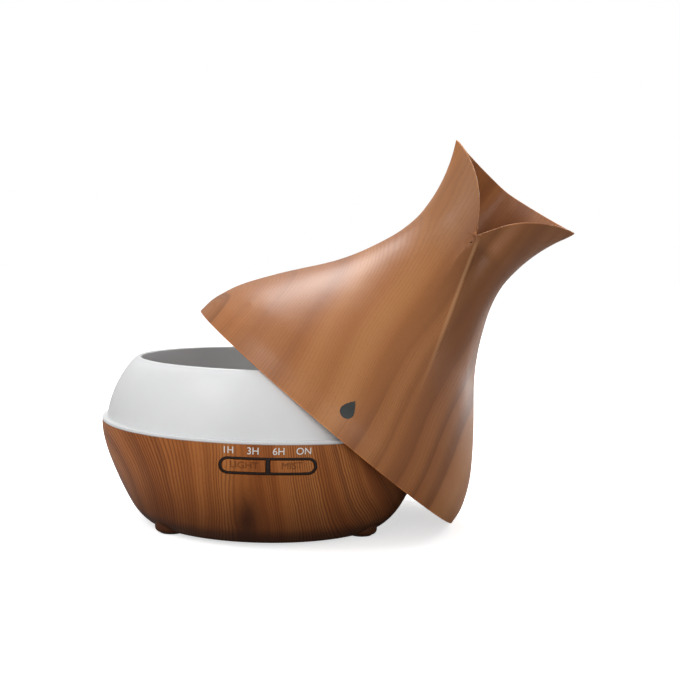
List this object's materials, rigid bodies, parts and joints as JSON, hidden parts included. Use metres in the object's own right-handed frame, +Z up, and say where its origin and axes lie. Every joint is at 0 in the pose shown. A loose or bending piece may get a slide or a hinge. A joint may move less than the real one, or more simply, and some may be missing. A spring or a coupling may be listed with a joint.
{
  "type": "essential oil diffuser",
  "caption": "Ultrasonic essential oil diffuser with a wood-grain bowl base, white water tank, two push buttons and a vase-shaped lift-off cover with a notched mouth.",
  "frame": {"origin": "on the base's vertical axis at the table plane that the feet stand on", "axes": "+Z up, -Y towards the buttons, +X towards the side the lifted cover leans on"},
  "size_m": [0.2397, 0.1692, 0.197],
  "materials": {
    "dark_wood": "satin wood-grain finish, dark brown",
    "light_wood": "satin wood-grain finish, warm mid brown",
    "button_wood": "satin wood-grain finish, dark brown",
    "rubber_feet": "matt black",
    "black_plastic": "fine textured dark brown plastic",
    "screw_steel": "plated steel",
    "white_tank": "milky translucent white plastic",
    "white_tank_inner": "milky white plastic",
    "disc_metal": "polished metal disc",
    "clear_silicone": "soft clear silicone",
    "holder_plastic": "white plastic",
    "black_fan": "black plastic",
    "black_fan_rotor": "black plastic",
    "green_board": "green circuit board",
    "component_black": "black moulded components",
    "sink_metal": "plain aluminium",
    "white_board": "white circuit board",
    "lamp_lens": "clear yellowish lamp lens",
    "dark_frame": "dark brown plastic",
    "plunger_plastic": "red plastic",
    "switch_black": "black plastic",
    "inlet_black": "black plastic",
    "pin_brass": "plain brass",
    "nut_metal": "bright plated nut"
  },
  "bodies": {
    "base": {"base_shell": "dark_wood", "foot_pads": "rubber_feet", "bottom_plate": "black_plastic", "bottom_screws": "screw_steel", "water_tank": "white_tank", "air_duct": "white_tank_inner", "air_duct_cap": "white_tank_inner", "mist_disc": "disc_metal", "mist_disc_seal": "clear_silicone", "mist_disc_holder": "holder_plastic", "mist_disc_screws": "screw_steel", "fan_frame": "black_fan", "fan_screws": "screw_steel", "main_board": "green_board", "main_board_screws": "screw_steel", "board_components": "component_black", "heat_sink": "sink_metal", "light_ring_board": "white_board", "light_ring_lamps": "lamp_lens", "button_frame": "dark_frame", "button_board": "green_board", "button_switches": "switch_black", "timer_lamps": "lamp_lens", "power_inlet": "inlet_black", "power_inlet_pin": "pin_brass", "power_inlet_nut": "nut_metal"},
    "light_button": {"light_button": "button_wood", "light_plunger": "plunger_plastic"},
    "mist_button": {"mist_button": "button_wood", "mist_plunger": "plunger_plastic"},
    "fan_rotor": {"fan_rotor": "black_fan_rotor"},
    "cover": {"cover": "light_wood"}
  },
  "joints": [
    {"name": "cover_lift", "type": "slide", "parent": "base", "child": "cover", "axis": [0.6277, 0.0281, 0.7779], "range_m": [0, 0.16]},
    {"name": "light_button_press", "type": "slide", "parent": "base", "child": "light_button", "axis": [0, 1, 0], "range_m": [0, 0.0006], "stiffness_N_per_m": 800, "springref_m": -0.0006},
    {"name": "mist_button_press", "type": "slide", "parent": "base", "child": "mist_button", "axis": [0, 1, 0], "range_m": [0, 0.0006], "stiffness_N_per_m": 800, "springref_m": -0.0006},
    {"name": "fan_spin", "type": "hinge", "parent": "base", "child": "fan_rotor", "pos_m": [0.02, 0.01, 0.011], "axis": [0, 0, 1], "continuous": true}
  ]
}
